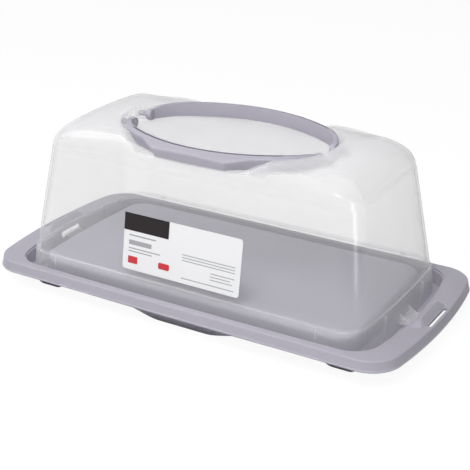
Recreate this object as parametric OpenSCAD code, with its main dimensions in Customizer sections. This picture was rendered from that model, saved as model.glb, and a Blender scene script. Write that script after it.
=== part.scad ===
// Cake carrier: a tray, a lift-off dome and two bail handles that swing up to meet.
// Origin at the middle of the footprint on the floor, +X along the tray, -Y to the front, +Z up.

/* [Dome] */
// Length of the dome over its lower edge, at the middle of the bowed ends
dome_length = 336; // [320:1:380]
// Width of the dome over its lower edge
dome_width = 169; // [162:1:200]
// Height of the dome from its lower edge to the top of the end lobes
dome_height = 143.2; // [135:0.1:165]
// Height of the crease where the straight walls end, from the lower edge
crease_height = 116.2; // [100:0.1:118]
// Wall thickness of the dome
dome_wall = 1.8; // [1.2:0.1:2.2]
// Height of the thicker band at the lower edge
band_height = 25; // [20:0.5:45]
// How far the band stands out from the wall above it
band_step = 1.5; // [0.6:0.1:2]
// Draft of the band, in degrees
band_draft = 4.5; // [2:0.1:6]
// Draft of the end walls, in degrees
end_draft = 8.2; // [6:0.1:10]
// Draft of the long walls, in degrees
side_draft = 9.1; // [7:0.1:11]
// Radius of the upright corners
dome_corner_r = 22; // [16:0.5:28]
// How far the end walls bow outward
dome_end_bow = 3.4; // [1:0.1:8]
// Slope of the end shoulder where it leaves the crease, in degrees from upright
shoulder_lean = 12.4; // [10:0.1:20]
// How far the long walls lean in above the crease, in degrees
upper_draft = 11; // [9:0.5:13]
// Height of the bevel along the top of the long walls, at the lobes
bevel_height = 8; // [6:0.5:10]
// Width of that bevel
bevel_width = 7.5; // [6:0.5:9]
// How far the long edges of a lobe lie below its middle
lobe_crown = 3.2; // [1:0.1:5]
// How far the long edges of a lobe fall again toward the end of the dome
lobe_fall = 4; // [0:0.25:6]
// Radius of the low lip where a hand reaches under the grip
lip_r = 3; // [2:0.1:4]
// Half the length of the low lip
lip_half_length = 40; // [32:1:44]
// Length over which the lip climbs to the lobe
lip_climb = 30; // [26:1:50]

/* [Handle pocket] */
// Length of each end lobe, from the crease in to the pocket
lobe_length = 51; // [46:0.5:58]
// Depth of the pocket below the lobes
pocket_depth = 14; // [12:0.1:15]
// How much smaller the pocket is at its floor than at its edge, on each side
pocket_draft = 3; // [2:0.1:4]
// Outer radius of the bosses that hold the hinge pins
boss_r = 5.2; // [4.5:0.1:6]

/* [Ribs and tongues] */
// Width of a locating rib on the band
rib_width = 3.2; // [2:0.1:6]
// Height of a locating rib above the tray rim
rib_height = 9; // [6:0.5:18]
// How far a locating rib stands out from the band at the tray rim
rib_depth = 1; // [0.6:0.1:1.4]
// Distance of the ribs on the long sides from the middle
side_rib_x = 129; // [90:1:132]
// Distance of the ribs on the ends from the middle
end_rib_y = 38; // [24:1:52]
// Width of the catch tongue at each end
tongue_width = 24; // [16:1:26]
// Thickness of the catch tongue
tongue_thick = 2.4; // [1.6:0.1:3]

/* [Tray] */
// Height of the tray rim above the floor
rim_height = 26; // [24:0.5:30]
// Gap between the dome and the channel wall at each end
end_gap = 11.2; // [9:0.1:20]
// Gap between the dome and the channel wall at each long side
side_gap = 3; // [2.6:0.1:8]
// Width of the flange at the middle of each end
end_flange = 18.4; // [17.5:0.1:40]
// Width of the flange at the middle of each long side
side_flange = 5.8; // [5.6:0.1:20]
// How far the ends of the rim bow outward
rim_end_bow = 9.6; // [5:0.1:14]
// Radius of the rim corners
rim_corner_r = 27; // [22:0.5:32]
// How far the ends of the channel bow outward
channel_end_bow = 11; // [8:0.1:12]
// How far the long sides of the channel bow outward
channel_side_bow = 2.4; // [1:0.1:2.6]
// Radius of the channel corners
channel_corner_r = 23; // [18:0.5:25]
// Thickness of the moulded sheet
sheet = 2; // [1.6:0.1:2.4]
// Height of the channel floor above the floor
channel_floor = 12; // [10:0.5:13]
// Width of the ledge inside the top of the channel
ledge_width = 1.3; // [0.8:0.1:1.8]
// Depth of the ledge below the rim
ledge_depth = 1.6; // [1:0.1:2]
// Gap inside the dome to the foot of the raised deck, at the long sides
deck_side_gap = 5; // [3:0.1:9]
// Gap inside the dome to the foot of the raised deck, at the ends
deck_end_gap = 9; // [4:0.1:14]
// Height of the raised deck above the rim
deck_rise = 4; // [0:0.5:6]
// Rounding of the edge of the raised deck
deck_edge_r = 5; // [3:0.1:7]
// Radius of the corners of the raised deck
deck_corner_r = 20; // [14:0.5:26]
// How far the ends of the raised deck bow outward
deck_end_bow = 3; // [1:0.1:6]
// Height of the skirt round the rim
skirt_height = 9.5; // [7:0.1:11]
// How far the skirt flares outward at its lower edge
skirt_flare = 1.2; // [0.5:0.1:2]

/* [Latches and feet] */
// Length of the hood over each latch, across the tray
hood_length = 57; // [50:1:66]
// Length of the ridge of the hood
ridge_length = 35; // [24:1:40]
// Height of the hood above the flange
hood_height = 4.6; // [3.6:0.1:6]
// Length of the slot beside the hood
slot_length = 36; // [20:1:40]
// Width of the slot
slot_width = 3.2; // [2:0.1:3.4]
// Length of the window through the channel wall
window_length = 28; // [27:1:34]
// Height of the window through the channel wall
window_height = 6.5; // [5:0.1:7]
// Half the flat length of each middle foot
mid_foot_half = 22; // [15:1:40]
// Length of the ramp at each end of a middle foot
mid_foot_ramp = 50; // [25:1:55]
// How far the outer rib of a middle foot lies in from the channel wall
mid_foot_inset = 7; // [4:0.5:7]
// Flat length of each corner foot
corner_foot_length = 14; // [10:1:20]
// Length of the ramp at each end of a corner foot
corner_foot_ramp = 20; // [10:1:20]
// Distance of the middle of each corner foot from the middle of the tray
corner_foot_x = 146; // [138:1:150]
// How far the outer rib of a corner foot lies in from the channel wall
corner_foot_inset = 12.5; // [10:0.5:13]
// Width of a foot across its two ribs
foot_width = 5.5; // [5:0.5:7]
// Number of cross ribs in a middle foot
foot_ribs = 5; // [3:1:9]

/* [Handles] */
// Height of a handle's inner wall
handle_height = 12.5; // [11:0.1:13]
// Width of the handle across its top
handle_top_width = 6.6; // [5.5:0.1:7]
// Width of an arm at its lower edge
handle_foot_width = 3.8; // [3:0.1:5]
// Half the length of the straight grip
grip_half_length = 34; // [28:1:38]
// How far the grip stands out past the top of an arm
grip_swell = 1.8; // [1:0.1:2.4]
// How far the grip stands out past the long wall of the dome
grip_overhang = 0.6; // [0:0.1:2]
// Length over which the grip tapers into each arm
grip_taper = 18; // [12:0.5:24]
// Radius of the inside of a handle toward its arms
bail_end_r = 45; // [38:0.5:50]
// Depth of the groove along the top of a handle
groove_depth = 1.2; // [0.6:0.1:2]
// Thickness of the wall inside the groove
groove_wall = 1.6; // [1.2:0.1:2]
// Length over which the top of an arm slopes down to its round end
arm_slope = 12; // [8:0.5:16]
// Distance between the two hinge lines
pivot_spacing = 27; // [25:0.5:34]
// Radius of the round end of each arm
arm_end_r = 5; // [4:0.1:5.2]
// Thickness of the end of each arm
arm_end_thick = 4.8; // [4:0.1:6]
// Diameter of the hinge pins
pin_d = 5; // [3.5:0.1:6]
// Length of each hinge pin inside its boss
pin_engagement = 6; // [4:0.1:8]

/* [Clearances] */
// Gap between the dome's lower edge and the channel floor
seat_gap = 0.3; // [0.2:0.05:0.6]
// Gap between the lying handles and the floor of their pocket
handle_gap = 0.5; // [0.3:0.05:1]
// Gap between a handle's top edge and the edge of the pocket
pocket_gap = 2; // [1.6:0.1:3]
// Radial gap between a hinge pin and its bore
pin_gap = 0.05; // [0.02:0.01:0.1]
// Gap between the end of a hinge pin and the bottom of its bore
pin_end_gap = 0.8; // [0.4:0.1:2]
// Side gap between an arm and the boss that carries it
arm_side_gap = 3.2; // [2:0.1:4.5]
// Gap between the catch tongue and the channel wall
tongue_gap = 0.4; // [0.3:0.05:1]

/* [Hidden] */

tray_colour = "#acabb5";
dome_colour = [0.90, 0.90, 0.90, 0.45];
handle_colour = "#b0adbb";

over = 0.01;

// Heights of the dome
dome_base_z = channel_floor + seat_gap;
band_top_z = dome_base_z + band_height;
crease_z = dome_base_z + crease_height;
lobe_z = dome_base_z + dome_height;
pocket_floor_z = lobe_z - pocket_depth;

// Half sizes of the dome's outside, from its lower edge up to the crease
base_hl = dome_length / 2;
base_hw = dome_width / 2;
band_top_hl = base_hl - band_height * tan(band_draft);
band_top_hw = base_hw - band_height * tan(band_draft);
wall_foot_hl = band_top_hl - band_step;
wall_foot_hw = band_top_hw - band_step;
crease_hl = wall_foot_hl - (crease_z - band_top_z) * tan(end_draft);
crease_hw = wall_foot_hw - (crease_z - band_top_z) * tan(side_draft);

// Handles: an oval of four arcs, in a pocket of the same form
bail_hl = crease_hl - lobe_length - pocket_gap - handle_top_width;
bail_hw = crease_hw + grip_overhang - grip_swell - handle_top_width;
bail_side_r = ((bail_hl - bail_end_r) ^ 2 + bail_hw ^ 2 - bail_end_r ^ 2) / (2 * (bail_hw - bail_end_r));
bail_join = atan2(bail_hl - bail_end_r, bail_side_r - bail_hw);
pocket_offset = handle_top_width + pocket_gap;
handle_z = pocket_floor_z + handle_gap;
handle_top_z = handle_z + handle_height;
pivot_y = pivot_spacing / 2;
pivot_z = handle_z + arm_end_r;
arm_out_x = bail_hl - bail_end_r + sqrt(bail_end_r ^ 2 - pivot_y ^ 2) + handle_foot_width;
boss_face_x = arm_out_x + arm_side_gap;
bore_depth = pin_engagement + pin_end_gap;

// Half sizes of the tray's outlines, at the foot of each wall
channel_draft = 0.7;
lip_round = 0.6;
lip_out = channel_draft + ledge_width + lip_round;
channel_hl = base_hl + end_gap;
channel_hw = base_hw + side_gap;
rim_hl = channel_hl + lip_out + end_flange;
rim_hw = channel_hw + lip_out + side_flange;
band_wall = dome_wall + 0.4;
deck_hl = base_hl - band_wall - deck_end_gap;
deck_hw = base_hw - band_wall - deck_side_gap;
deck_draft = 0.5;
rib_top_z = rim_height + rib_height;
tongue_z = rim_height - ledge_depth - 4.5;

// ---- Plans: an outline of eight arcs, given by half length, half width, end bow, side bow and corner r.
// A side bow of 0 gives straight sides. The result is [hl, hw, corner r, end r, end centre x, side r,
// side centre y, corner centre, angle where end and corner meet, angle where corner and side meet].
function bow_r(half, bow) = (half ^ 2 + bow ^ 2) / (2 * bow);
function corner_on_straight(hw, r, er, ex) = [ex + sqrt((er - r) ^ 2 - (hw - r) ^ 2), hw - r];
function corner_on_bow(r, er, ex, sr, sy) =
    let (
        a = er - r,
        b = sr - r,
        p = (ex ^ 2 - sy ^ 2 - a ^ 2 + b ^ 2) / (2 * ex),
        q = sy / ex,
        m = p - ex,
        y = (-q * m + sqrt((q * m) ^ 2 - (1 + q ^ 2) * (m ^ 2 - a ^ 2))) / (1 + q ^ 2)
    )
    [p + q * y, y];
function plan(hl, hw, end_bow, side_bow, r) =
    let (
        er = bow_r(hw, end_bow),
        ex = hl - er,
        sr = side_bow > 0 ? bow_r(hl, side_bow) : 0,
        sy = hw - sr,
        c = side_bow > 0 ? corner_on_bow(r, er, ex, sr, sy) : corner_on_straight(hw, r, er, ex),
        a_end = atan2(c.y, c.x - ex),
        a_side = side_bow > 0 ? atan2(c.y - sy, c.x) : 90
    )
    [hl, hw, r, er, ex, sr, sy, c, a_end, a_side];

// One quarter of a plan's outline, moved outward by off, at height z:
// from the middle of the end to the middle of the side
end_steps = 4;
corner_steps = 8;
side_share = [0.84, 0.68, 0.54, 0.39, 0.2, 0];
side_steps = len(side_share);
stations = end_steps + corner_steps + side_steps;

function mix(a, b, t) = a + (b - a) * t;
function on_arc(c, r, a) = [c.x + r * cos(a), c.y + r * sin(a)];
function lift(q, z) = [for (e = q) [e.x, e.y, z]];
function quarter(p, off, z) =
    lift(
        concat(
            [for (j = [0 : end_steps - 1]) on_arc([p[4], 0], p[3] + off, p[8] * j / end_steps)],
            [for (j = [0 : corner_steps]) on_arc(p[7], p[2] + off, mix(p[8], p[9], j / corner_steps))],
            [for (j = [1 : side_steps])
                let (t = j / side_steps)
                p[5] > 0
                    ? on_arc([0, p[6]], p[5] + off, mix(p[9], 90, t))
                    : [p[7].x * (1 - t), p[1] + off]]),
        z);

// A quarter mirrored into a closed loop
function loop(q) =
    let (n = len(q) - 1)
    concat(
        [for (j = [0 : n - 1]) q[j]],
        [for (j = [n : -1 : 1]) [-q[j].x, q[j].y, q[j].z]],
        [for (j = [0 : n - 1]) [-q[j].x, -q[j].y, q[j].z]],
        [for (j = [n : -1 : 1]) [q[j].x, -q[j].y, q[j].z]]);

// A sheet made of two sets of rings, one from its edge to its middle and one back again,
// and of the two middle points
function ring_faces(i, n) =
    [for (j = [0 : n - 1])
        each let (a = i * n + j, b = i * n + (j + 1) % n, c = b + n, d = a + n) [[a, d, c], [a, c, b]]];
function rim_faces(i, n) =
    [for (j = [0 : n - 1])
        each let (a = i * n + j, b = i * n + (j + 1) % n, c = (j + 1) % n, d = j) [[a, d, c], [a, c, b]]];
module sheet_between(front, back, front_mid, back_mid) {
    n = 4 * stations;
    nf = len(front);
    m = nf + len(back);
    polyhedron(
        concat([for (q = front) each loop(q)], [for (q = back) each loop(q)], [front_mid, back_mid]),
        concat(
            [for (i = [0 : m - 2]) if (i != nf - 1) each ring_faces(i, n)],
            rim_faces(m - 1, n),
            [for (j = [0 : n - 1]) [(nf - 1) * n + j, n * m, (nf - 1) * n + (j + 1) % n]],
            [for (j = [0 : n - 1]) [nf * n + j, nf * n + (j + 1) % n, n * m + 1]]));
}

// ---- Tray
rim_plan = plan(rim_hl, rim_hw, rim_end_bow, 0, rim_corner_r);
channel_plan = plan(channel_hl, channel_hw, channel_end_bow, channel_side_bow, channel_corner_r);
deck_plan = plan(deck_hl, deck_hw, deck_end_bow, 0, deck_corner_r);

// The upper face of the tray, from the foot of its skirt to the edge of the deck
function tray_top() =
    let (
        top = rim_height,
        foot = rim_height - skirt_height,
        edge = 1.4,
        bead = 0.6,
        low = channel_floor,
        step = channel_draft + ledge_width,
        deck = rim_height + deck_rise
    )
    concat(
        [
            quarter(rim_plan, skirt_flare, foot),
            quarter(rim_plan, skirt_flare + bead, foot + 0.5),
            quarter(rim_plan, skirt_flare + bead, foot + 1.1),
            quarter(rim_plan, skirt_flare - 0.1, foot + 1.8)
        ],
        [for (a = [0 : 22.5 : 90]) quarter(rim_plan, -edge + edge * cos(a), top - edge + edge * sin(a))],
        [
            quarter(channel_plan, step + lip_round, top),
            quarter(channel_plan, step + 0.1, top - lip_round),
            quarter(channel_plan, step, top - ledge_depth),
            quarter(channel_plan, channel_draft, top - ledge_depth),
            quarter(channel_plan, 0, low + 1.1),
            quarter(channel_plan, -0.4, low + 0.3),
            quarter(channel_plan, -1.2, low),
            quarter(deck_plan, 1, low),
            quarter(deck_plan, 0.2, low + 0.4)
        ],
        [for (a = [0 : 15 : 90])
            quarter(
                deck_plan,
                -deck_draft - deck_edge_r * (1 - cos(a)),
                deck - deck_edge_r * (1 - sin(a)))]);

// The lower face, back from the deck to the skirt
function tray_under() =
    let (
        top = rim_height,
        foot = rim_height - skirt_height,
        inner_r = deck_edge_r - sheet,
        low = channel_floor - sheet,
        deck = rim_height + deck_rise
    )
    concat(
        [for (a = [90 : -30 : 0])
            quarter(
                deck_plan,
                -deck_draft - deck_edge_r + inner_r * cos(a),
                deck - deck_edge_r + inner_r * sin(a))],
        [
            quarter(deck_plan, -sheet + 0.2, low + 0.8),
            quarter(deck_plan, -0.4, low),
            quarter(channel_plan, 0.3, low),
            quarter(channel_plan, sheet * 0.9, low + 1),
            quarter(channel_plan, channel_draft + sheet * 0.9, top - ledge_depth - sheet),
            quarter(channel_plan, channel_draft + ledge_width + 0.9, top - ledge_depth - sheet + 0.5),
            quarter(channel_plan, channel_draft + ledge_width + 1.5, top - sheet),
            quarter(rim_plan, -sheet * 0.9 - 1.2, top - sheet),
            quarter(rim_plan, -sheet * 0.9, top - sheet - 1.2),
            quarter(rim_plan, skirt_flare - sheet * 0.8, foot)
        ]);

// A hipped hood: a wide foot and a narrow ridge, with the slot between it and the edge of the flange
slot_edge = 2.3;
module hood_form(grow, z0, z1) {
    x0 = rim_hl - end_flange + 0.4;
    x1 = rim_hl - slot_edge - slot_width;
    foot = [
        [x0 - grow, -hood_length / 2 - grow],
        [x0 + 4.5, -hood_length / 2 - grow],
        [x1 - 2, -hood_length / 2 + 3 - grow],
        [x1 + grow, -ridge_length / 2 - 3 - grow],
        [x1 + grow, ridge_length / 2 + 3 + grow],
        [x1 - 2, hood_length / 2 - 3 + grow],
        [x0 + 4.5, hood_length / 2 + grow],
        [x0 - grow, hood_length / 2 + grow]
    ];
    xr = (x0 + x1) / 2 - 0.6;
    ridge = [
        [xr - 0.8, -ridge_length / 2 - grow],
        [xr, -ridge_length / 2 - 0.5 - grow],
        [xr + 0.6, -ridge_length / 2 - 0.3 - grow],
        [xr + 1, -ridge_length / 2 + 0.5 - grow],
        [xr + 1, ridge_length / 2 - 0.5 + grow],
        [xr + 0.6, ridge_length / 2 + 0.3 + grow],
        [xr, ridge_length / 2 + 0.5 + grow],
        [xr - 0.8, ridge_length / 2 + grow]
    ];
    n = len(foot);
    polyhedron(
        [for (q = foot) [q.x, q.y, z0], for (q = ridge) [q.x, q.y, z1]],
        concat(
            [[for (i = [0 : n - 1]) i]],
            [[for (i = [n - 1 : -1 : 0]) n + i]],
            [for (i = [0 : n - 1]) [i, n + i, n + (i + 1) % n]],
            [for (i = [0 : n - 1]) [i, n + (i + 1) % n, (i + 1) % n]]));
}

module latch_cuts() {
    hood_form(-sheet, rim_height - sheet - over, rim_height + hood_height - sheet);
    translate([rim_hl - slot_edge - slot_width, -slot_length / 2, rim_height - sheet - 1])
        cube([slot_width, slot_length, sheet + 1 + over]);
    translate([channel_hl - 3, -window_length / 2, rim_height - ledge_depth - sheet - window_height])
        cube([7, window_length, window_height]);
}

// A foot is a pair of ribs whose lower edge ramps down to the floor, tied by cross ribs
module foot(flat_half, ramp, ribs, inset) {
    top = channel_floor - sheet / 2;
    heel = 0.12;
    cross_rib = 1.6;
    side = [
        [-flat_half - ramp, top],
        [-flat_half - ramp * heel * 2, top * heel],
        [-flat_half, 0],
        [flat_half, 0],
        [flat_half + ramp * heel * 2, top * heel],
        [flat_half + ramp, top]
    ];
    y_out = channel_hw - inset;
    for (y = [y_out, y_out - foot_width + sheet])
        translate([0, y, 0])
            rotate([90, 0, 0])
                linear_extrude(sheet)
                    polygon(side);
    for (i = [0 : ribs - 1])
        translate([
            flat_half * (ribs > 1 ? 2 * i / (ribs - 1) - 1 : 0) - cross_rib / 2,
            y_out - foot_width,
            0
        ])
            cube([cross_rib, foot_width - over, top]);
}

module tray() {
    color(tray_colour) {
        difference() {
            union() {
                sheet_between(
                    tray_top(),
                    tray_under(),
                    [0, 0, rim_height + deck_rise],
                    [0, 0, rim_height + deck_rise - sheet]);
                for (side = [0, 180])
                    rotate([0, 0, side])
                        hood_form(0, rim_height - 0.5, rim_height + hood_height);
            }
            for (side = [0, 180])
                rotate([0, 0, side])
                    latch_cuts();
        }
        for (side = [0, 180])
            rotate([0, 0, side]) {
                foot(mid_foot_half, mid_foot_ramp, foot_ribs, mid_foot_inset);
                for (x = [-corner_foot_x, corner_foot_x])
                    translate([x, 0, 0])
                        foot(corner_foot_length / 2, corner_foot_ramp, 2, corner_foot_inset);
            }
    }
}

// ---- Dome
shoulder_steps = 6;

function smooth(t) = let (u = max(0, min(1, t))) u * u * (3 - 2 * u);
function climb(x) = smooth((abs(x) - lip_half_length) / lip_climb);

// Height of the long edge of the top: low at the lip, high on the lobes and falling again toward the ends
level_edge = 10;
fall_from = lip_half_length + lip_climb + level_edge;
fall_to = crease_hl - dome_corner_r;
function edge_z(x) =
    mix(
        pocket_floor_z,
        lobe_z - lobe_crown - lobe_fall * smooth((abs(x) - fall_from) / (fall_to - fall_from)),
        climb(x));
// Height of the top of a lobe, which is crowned across its width
crown_hw = crease_hw - bevel_width - (lobe_z - bevel_height - crease_z) * tan(upper_draft);
function crown_share(y) = min(1, (y / crown_hw) ^ 2);
function top_z(x, y) =
    mix(pocket_floor_z, mix(lobe_z, edge_z(x) + over, crown_share(y)), climb(x));

// How much of a station belongs to the end of the dome: 1 at the end, 0 along the side
function end_share(j) = 1 - smooth((j - end_steps) / corner_steps);

function dome_quarter(hl, hw, r) =
    let (
        er = bow_r(base_hw, dome_end_bow),
        ex = hl - er,
        cy = hw - r,
        cx = ex + sqrt((er - r) ^ 2 - cy ^ 2),
        a_end = asin(cy / (er - r))
    )
    concat(
        [for (j = [0 : end_steps - 1])
            let (a = a_end * j / end_steps) [ex + er * cos(a), er * sin(a)]],
        [for (j = [0 : corner_steps])
            let (a = mix(a_end, 90, j / corner_steps)) [cx + r * cos(a), cy + r * sin(a)]],
        [for (t = side_share) [cx * t, hw]]);

function flat_quarter(hl, hw, r, z) = lift(dome_quarter(hl, hw, r), z);

// Profiles over the top of a long wall, as [in from the wall, down from the edge, slope of the surface].
// The lip is a plain round, the lobe a bevel between two small rounds.
lobe_profile = [
    [0, 1, upper_draft],
    [0.04, 0.86, 22],
    [0.15, 0.68, 38],
    [0.3, 0.5, 48],
    [0.62, 0.2, 52],
    [0.8, 0.07, 68],
    [1, 0, 80]
];
function bevel_point(k) =
    [lobe_profile[k].x * bevel_width, lobe_profile[k].y * bevel_height, lobe_profile[k].z];
function lip_point(k) =
    let (a = mix(upper_draft, 90, k / shoulder_steps))
    [lip_r * (cos(upper_draft) - cos(a)), lip_r * (1 - sin(a)), a];
function side_half_width(z) = crease_hw - (z - crease_z) * tan(upper_draft);
function side_point(k, x, wall) =
    let (
        q = mix(lip_point(k), bevel_point(k), climb(x)),
        depth = mix(lip_r * (1 - sin(upper_draft)), bevel_height, climb(x)),
        z = edge_z(x)
    )
    [side_half_width(z - depth) - q.x - wall * cos(q.z), z - q.y - wall * sin(q.z)];

// Ring k of the shoulder: a large arc over the ends, the bevel along the sides, blended at the corners
function shoulder_quarter(k, wall) =
    let (
        t = k / shoulder_steps,
        end_r = (lobe_z - crease_z) / (1 - sin(shoulder_lean)),
        end_a = mix(shoulder_lean, 90, t),
        hl = crease_hl - end_r * cos(shoulder_lean) + (end_r - wall) * cos(end_a),
        end_z = crease_z - end_r * sin(shoulder_lean) + (end_r - wall) * sin(end_a),
        hw = side_point(k, fall_to, wall).x,
        q = dome_quarter(hl, hw, mix(dome_corner_r - 2, 14, t) - wall / 2)
    )
    [for (j = [0 : stations])
        let (s = side_point(k, q[j].x, wall))
        [
            q[j].x,
            j > end_steps + corner_steps ? s.x : q[j].y,
            mix(s.y, end_z - lobe_crown * crown_share(q[j].y) * t, end_share(j))
        ]];

// The oval of the handles, moved outward by off
function oval_split_x(off) = (bail_side_r + off) * sin(bail_join);
function oval_y(x, off) =
    x < oval_split_x(off)
        ? bail_hw - bail_side_r + sqrt((bail_side_r + off) ^ 2 - x ^ 2)
        : sqrt(max(0, (bail_end_r + off) ^ 2 - (x - bail_hl + bail_end_r) ^ 2));
function oval_end_point(a, off) =
    [bail_hl - bail_end_r + (bail_end_r + off) * cos(a), (bail_end_r + off) * sin(a)];

// The edge of the pocket, which runs out over the long sides, and its floor
pocket_share = 0.74;
edge_inset = 1.5;
floor_inset = 3;
function pocket_quarter(off, inset, wall, at_floor) =
    let (
        rim = shoulder_quarter(shoulder_steps, wall),
        last = end_steps + corner_steps,
        x_last = rim[last].x * pocket_share,
        a_last = acos((x_last - bail_hl + bail_end_r) / (bail_end_r + off))
    )
    [for (j = [0 : stations])
        let (
            s = rim[j],
            x_side = s.x * (1 - (1 - pocket_share) * (s.x / rim[last].x) ^ 2),
            q = j < last ? oval_end_point(a_last * j / last, off) : [x_side, oval_y(x_side, off)],
            y = j < last ? q.y : min(q.y, s.y - inset),
            z = at_floor ? pocket_floor_z - wall : top_z(q.x, y) - wall
        )
        [q.x, y, z]];

module dome_shell() {
    t = dome_wall;
    foot_t = band_wall;
    outer = concat(
        [
            flat_quarter(base_hl, base_hw, dome_corner_r, dome_base_z),
            flat_quarter(band_top_hl, band_top_hw, dome_corner_r, band_top_z - band_step * 0.6),
            flat_quarter(wall_foot_hl, wall_foot_hw, dome_corner_r - band_step, band_top_z),
            flat_quarter(crease_hl, crease_hw, dome_corner_r - 2, crease_z)
        ],
        [for (k = [1 : shoulder_steps]) shoulder_quarter(k, 0)],
        [
            pocket_quarter(pocket_offset, edge_inset, 0, false),
            pocket_quarter(pocket_offset - pocket_draft, floor_inset, 0, true)
        ]);
    inner = concat(
        [
            pocket_quarter(pocket_offset - pocket_draft + t, floor_inset * 0.8, t, true),
            pocket_quarter(pocket_offset + t, edge_inset * 0.4, t, false)
        ],
        [for (k = [shoulder_steps : -1 : 1]) shoulder_quarter(k, t)],
        [
            flat_quarter(crease_hl - t, crease_hw - t, dome_corner_r - 2 - t / 2, crease_z - t * 0.2),
            flat_quarter(wall_foot_hl - t, wall_foot_hw - t, dome_corner_r - t, band_top_z),
            flat_quarter(base_hl - foot_t, base_hw - foot_t, dome_corner_r - foot_t, dome_base_z)
        ]);
    sheet_between(outer, inner, [0, 0, pocket_floor_z], [0, 0, pocket_floor_z - t]);
}

module at_bosses() {
    for (side = [0, 180])
        rotate([0, 0, side])
            for (y = [-pivot_y, pivot_y])
                translate([boss_face_x, y, pivot_z])
                    rotate([0, 90, 0])
                        children();
}

module locating_ribs() {
    z0 = dome_base_z + 1;
    root = 1.2;
    at_rim = (rim_height - dome_base_z) * tan(band_draft);
    for (side = [0, 180])
        rotate([0, 0, side]) {
            for (x = [-side_rib_x, side_rib_x])
                translate([x - rib_width / 2, base_hw - at_rim - root, z0])
                    cube([rib_width, root + rib_depth, rib_top_z - z0]);
            for (y = [-end_rib_y, end_rib_y])
                translate([base_hl - at_rim - dome_end_bow - root, y - rib_width / 2, z0])
                    cube([dome_end_bow + root + rib_depth, rib_width, rib_top_z - z0]);
        }
}

module catch_tongues() {
    tip = channel_hl - tongue_gap;
    root = base_hl - 3;
    for (side = [0, 180])
        rotate([0, 0, side]) {
            translate([root, -tongue_width / 2, tongue_z - tongue_thick])
                cube([tip - root, tongue_width, tongue_thick]);
            for (y = [-tongue_width / 2 + 3, tongue_width / 2 - 3])
                translate([root, y + 0.8, tongue_z])
                    rotate([90, 0, 0])
                        linear_extrude(1.6)
                            polygon([[0, 0], [tip - root - 3, 0], [0, 7]]);
        }
}

module dome() {
    color(dome_colour)
        difference() {
            union() {
                dome_shell();
                at_bosses()
                    cylinder(r = boss_r, h = bore_depth + dome_wall, $fn = 48);
                locating_ribs();
                catch_tongues();
            }
            at_bosses()
                translate([0, 0, -1])
                    cylinder(d = pin_d + 2 * pin_gap, h = bore_depth + 1, $fn = 48);
        }
}

// ---- Handles, drawn at the front as a section carried round the oval from one arm to the other
end_arm_steps = 7;
taper_steps = 4;
grip_steps = 4;
grip_out = bail_hw + handle_top_width + grip_swell;

// Section across a handle, as [outward from the oval, height]
function section(w, foot, z0, z1, groove) = [
    [0.4, z0],
    [0, z0 + 0.5],
    [0, z1 - 0.4],
    [0.4, z1],
    [groove_wall - 0.3, z1],
    [groove_wall, z1 - groove],
    [groove_wall + 0.8, z1 - groove],
    [groove_wall + 1.2, z1 - 0.3],
    [max(w - 2.2, groove_wall + 1.3), z1 - 0.3],
    [w - 1, z1 - 0.8],
    [w - 0.3, z1 - 1.7],
    [w, z1 - 2.9],
    [mix(foot, w, 0.9), z1 - 4.6],
    [foot + 0.4, z0 + 0.8],
    [foot - 0.4, z0]
];

// Straight outer edge of the grip, as a distance out from the oval at angle a
function grip_width(a) = (bail_side_r - bail_hw + grip_out) / cos(a) - bail_side_r;

// Stations from the middle of the grip to the pivot: [centre, radius, angle from the middle, section]
function handle_stations() =
    let (
        side_c = [0, bail_side_r - bail_hw],
        end_c = [bail_hl - bail_end_r, 0],
        z0 = handle_z,
        z1 = handle_top_z,
        w = handle_top_width,
        foot = handle_foot_width,
        a_grip = atan2(grip_half_length, side_c.y + grip_out),
        a_taper = atan2(grip_half_length + grip_taper, side_c.y + grip_out - 10),
        a_pivot = 90 - asin(pivot_y / bail_end_r),
        a_slope = 90 - asin((pivot_y + arm_slope) / bail_end_r),
        z_end = pivot_z + arm_end_r - 0.5
    )
    concat(
        [for (k = [0 : grip_steps])
            let (a = a_grip * k / grip_steps, g = grip_width(a))
            [side_c, bail_side_r, a, section(g, g - 0.6, z0, z1, groove_depth)]],
        [for (k = [1 : taper_steps])
            let (
                t = k / taper_steps,
                a = mix(a_grip, a_taper, t),
                g = mix(grip_width(a_grip), w, t),
                f = mix(g - 0.6, foot, 1 - (1 - t) ^ 2)
            )
            [side_c, bail_side_r, a, section(g, f, z0, z1, groove_depth)]],
        [for (k = [1 : 2])
            [side_c, bail_side_r, mix(a_taper, bail_join, k / 2), section(w, foot, z0, z1, groove_depth)]],
        [for (k = [1 : end_arm_steps])
            [end_c, bail_end_r, mix(bail_join, a_slope, k / end_arm_steps),
                section(w, foot, z0, z1, groove_depth)]],
        [
            [end_c, bail_end_r, mix(a_slope, a_pivot, 0.5),
                section(mix(w, foot, 0.5), foot, z0 + 0.1, mix(z1, z_end, 0.6), groove_depth * 0.5)],
            [end_c, bail_end_r, a_pivot, section(foot + 0.6, foot, z0 + 0.5, z_end, 0.2)]
        ]);

module handle_body() {
    right = handle_stations();
    m = len(right);
    all = concat(
        [for (i = [m - 1 : -1 : 1]) [right[i], -1]],
        [for (i = [0 : m - 1]) [right[i], 1]]);
    n = len(right[0][3]);
    total = len(all);
    points = [for (e = all)
        let (s = e[0], c = s[0], d = [sin(s[2]), -cos(s[2])])
        each [for (q = s[3]) [e[1] * (c.x + (s[1] + q.x) * d.x), c.y + (s[1] + q.x) * d.y, q.y]]];
    polyhedron(
        points,
        concat(
            [[for (k = [0 : n - 1]) k]],
            [[for (k = [n - 1 : -1 : 0]) (total - 1) * n + k]],
            [for (i = [0 : total - 2])
                each [for (k = [0 : n - 1])
                    each let (a = i * n + k, b = i * n + (k + 1) % n, c = b + n, d = a + n)
                        [[a, d, c], [a, c, b]]]]));
}

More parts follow.
